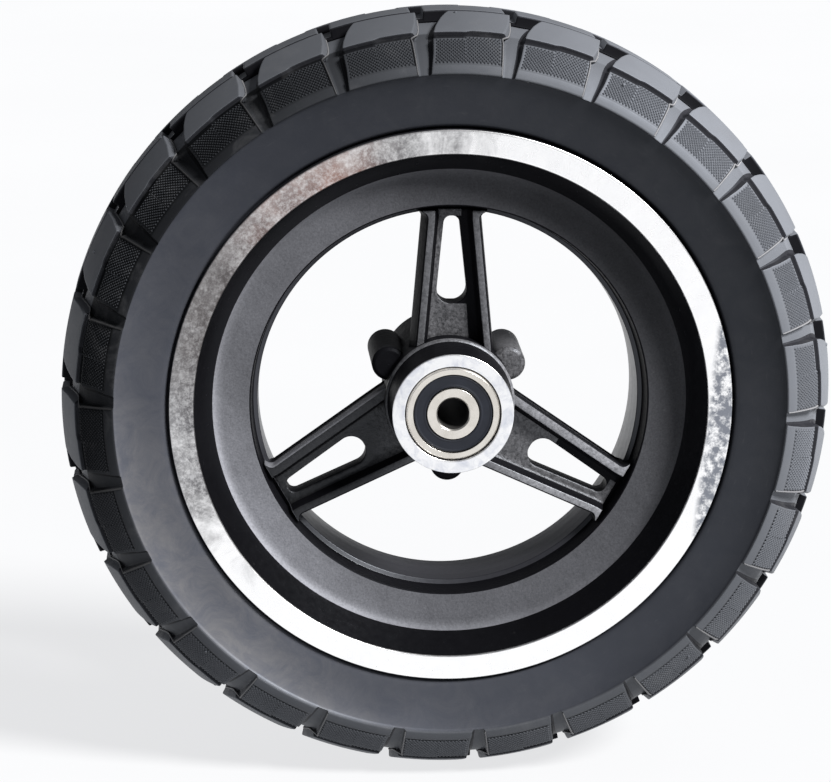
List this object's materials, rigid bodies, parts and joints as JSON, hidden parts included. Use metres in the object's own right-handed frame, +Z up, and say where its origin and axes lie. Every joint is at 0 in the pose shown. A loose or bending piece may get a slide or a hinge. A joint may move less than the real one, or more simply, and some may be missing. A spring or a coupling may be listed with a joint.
{
  "type": "scooter wheel",
  "caption": "Three-spoke cast alloy scooter wheel with a solid block-tread tyre, sealed ball bearings in the hub and bosses for a brake disc.",
  "frame": {"origin": "centre of the wheel, on the axle line and the tyre's mid-plane", "axes": "the wheel spins about Y; -Y is the plain side, +Y the brake-disc side; +Z up along one spoke"},
  "size_m": [0.2498, 0.07, 0.2498],
  "materials": {
    "tyre_rubber": "satin moulded rubber",
    "rim_paint": "satin black paint with bare machined lip and hub faces",
    "bearing_steel": "ground and polished steel",
    "cage_polymer": "matte moulded",
    "seal_rubber": "satin nitrile rubber",
    "spacer_alloy": "as turned"
  },
  "bodies": {
    "axle_core": {"spacer_tube": "spacer_alloy", "front_inner_ring": "bearing_steel", "rear_inner_ring": "bearing_steel"},
    "wheel": {"wheel_rim": "rim_paint", "tyre": "tyre_rubber", "front_outer_ring": "bearing_steel", "rear_outer_ring": "bearing_steel", "front_outboard_seal": "seal_rubber", "front_inboard_seal": "seal_rubber", "rear_outboard_seal": "seal_rubber", "rear_inboard_seal": "seal_rubber"},
    "front_ball_set": {"front_cage": "cage_polymer"},
    "rear_ball_set": {"rear_cage": "cage_polymer"},
    "front_ball_1_roll": {"front_ball_1": "bearing_steel"},
    "front_ball_2_roll": {"front_ball_2": "bearing_steel"},
    "front_ball_3_roll": {"front_ball_3": "bearing_steel"},
    "front_ball_4_roll": {"front_ball_4": "bearing_steel"},
    "front_ball_5_roll": {"front_ball_5": "bearing_steel"},
    "front_ball_6_roll": {"front_ball_6": "bearing_steel"},
    "front_ball_7_roll": {"front_ball_7": "bearing_steel"},
    "front_ball_8_roll": {"front_ball_8": "bearing_steel"},
    "rear_ball_1_roll": {"rear_ball_1": "bearing_steel"},
    "rear_ball_2_roll": {"rear_ball_2": "bearing_steel"},
    "rear_ball_3_roll": {"rear_ball_3": "bearing_steel"},
    "rear_ball_4_roll": {"rear_ball_4": "bearing_steel"},
    "rear_ball_5_roll": {"rear_ball_5": "bearing_steel"},
    "rear_ball_6_roll": {"rear_ball_6": "bearing_steel"},
    "rear_ball_7_roll": {"rear_ball_7": "bearing_steel"},
    "rear_ball_8_roll": {"rear_ball_8": "bearing_steel"}
  },
  "joints": [
    {"name": "wheel_spin", "type": "hinge", "parent": "axle_core", "child": "wheel", "pos_m": [0, 0, 0], "axis": [0, 1, 0], "continuous": true},
    {"name": "front_ball_orbit", "type": "hinge", "parent": "axle_core", "child": "front_ball_set", "pos_m": [0, -0.0303, 0], "axis": [0, 1, 0], "continuous": true},
    {"name": "rear_ball_orbit", "type": "hinge", "parent": "axle_core", "child": "rear_ball_set", "pos_m": [0, 0.0303, 0], "axis": [0, 1, 0], "continuous": true},
    {"name": "front_ball_1_spin", "type": "hinge", "parent": "front_ball_set", "child": "front_ball_1_roll", "pos_m": [0.00924, -0.0303, 0.00383], "axis": [0, 1, 0], "continuous": true},
    {"name": "front_ball_2_spin", "type": "hinge", "parent": "front_ball_set", "child": "front_ball_2_roll", "pos_m": [0.00383, -0.0303, 0.00924], "axis": [0, 1, 0], "continuous": true},
    {"name": "front_ball_3_spin", "type": "hinge", "parent": "front_ball_set", "child": "front_ball_3_roll", "pos_m": [-0.00383, -0.0303, 0.00924], "axis": [0, 1, 0], "continuous": true},
    {"name": "front_ball_4_spin", "type": "hinge", "parent": "front_ball_set", "child": "front_ball_4_roll", "pos_m": [-0.00924, -0.0303, 0.00383], "axis": [0, 1, 0], "continuous": true},
    {"name": "front_ball_5_spin", "type": "hinge", "parent": "front_ball_set", "child": "front_ball_5_roll", "pos_m": [-0.00924, -0.0303, -0.00383], "axis": [0, 1, 0], "continuous": true},
    {"name": "front_ball_6_spin", "type": "hinge", "parent": "front_ball_set", "child": "front_ball_6_roll", "pos_m": [-0.00383, -0.0303, -0.00924], "axis": [0, 1, 0], "continuous": true},
    {"name": "front_ball_7_spin", "type": "hinge", "parent": "front_ball_set", "child": "front_ball_7_roll", "pos_m": [0.00383, -0.0303, -0.00924], "axis": [0, 1, 0], "continuous": true},
    {"name": "front_ball_8_spin", "type": "hinge", "parent": "front_ball_set", "child": "front_ball_8_roll", "pos_m": [0.00924, -0.0303, -0.00383], "axis": [0, 1, 0], "continuous": true},
    {"name": "rear_ball_1_spin", "type": "hinge", "parent": "rear_ball_set", "child": "rear_ball_1_roll", "pos_m": [0.00924, 0.0303, 0.00383], "axis": [0, 1, 0], "continuous": true},
    {"name": "rear_ball_2_spin", "type": "hinge", "parent": "rear_ball_set", "child": "rear_ball_2_roll", "pos_m": [0.00383, 0.0303, 0.00924], "axis": [0, 1, 0], "continuous": true},
    {"name": "rear_ball_3_spin", "type": "hinge", "parent": "rear_ball_set", "child": "rear_ball_3_roll", "pos_m": [-0.00383, 0.0303, 0.00924], "axis": [0, 1, 0], "continuous": true},
    {"name": "rear_ball_4_spin", "type": "hinge", "parent": "rear_ball_set", "child": "rear_ball_4_roll", "pos_m": [-0.00924, 0.0303, 0.00383], "axis": [0, 1, 0], "continuous": true},
    {"name": "rear_ball_5_spin", "type": "hinge", "parent": "rear_ball_set", "child": "rear_ball_5_roll", "pos_m": [-0.00924, 0.0303, -0.00383], "axis": [0, 1, 0], "continuous": true},
    {"name": "rear_ball_6_spin", "type": "hinge", "parent": "rear_ball_set", "child": "rear_ball_6_roll", "pos_m": [-0.00383, 0.0303, -0.00924], "axis": [0, 1, 0], "continuous": true},
    {"name": "rear_ball_7_spin", "type": "hinge", "parent": "rear_ball_set", "child": "rear_ball_7_roll", "pos_m": [0.00383, 0.0303, -0.00924], "axis": [0, 1, 0], "continuous": true},
    {"name": "rear_ball_8_spin", "type": "hinge", "parent": "rear_ball_set", "child": "rear_ball_8_roll", "pos_m": [0.00924, 0.0303, -0.00383], "axis": [0, 1, 0], "continuous": true}
  ],
  "couplings": [
    {"joint": "front_ball_orbit", "follows": "wheel_spin", "ratio": 0.61905},
    {"joint": "rear_ball_orbit", "follows": "wheel_spin", "ratio": 0.61905},
    {"joint": "front_ball_1_spin", "follows": "wheel_spin", "ratio": 1.9809},
    {"joint": "front_ball_2_spin", "follows": "wheel_spin", "ratio": 1.9809},
    {"joint": "front_ball_3_spin", "follows": "wheel_spin", "ratio": 1.9809},
    {"joint": "front_ball_4_spin", "follows": "wheel_spin", "ratio": 1.9809},
    {"joint": "front_ball_5_spin", "follows": "wheel_spin", "ratio": 1.9809},
    {"joint": "front_ball_6_spin", "follows": "wheel_spin", "ratio": 1.9809},
    {"joint": "front_ball_7_spin", "follows": "wheel_spin", "ratio": 1.9809},
    {"joint": "front_ball_8_spin", "follows": "wheel_spin", "ratio": 1.9809},
    {"joint": "rear_ball_1_spin", "follows": "wheel_spin", "ratio": 1.9809},
    {"joint": "rear_ball_2_spin", "follows": "wheel_spin", "ratio": 1.9809},
    {"joint": "rear_ball_3_spin", "follows": "wheel_spin", "ratio": 1.9809},
    {"joint": "rear_ball_4_spin", "follows": "wheel_spin", "ratio": 1.9809},
    {"joint": "rear_ball_5_spin", "follows": "wheel_spin", "ratio": 1.9809},
    {"joint": "rear_ball_6_spin", "follows": "wheel_spin", "ratio": 1.9809},
    {"joint": "rear_ball_7_spin", "follows": "wheel_spin", "ratio": 1.9809},
    {"joint": "rear_ball_8_spin", "follows": "wheel_spin", "ratio": 1.9809}
  ]
}
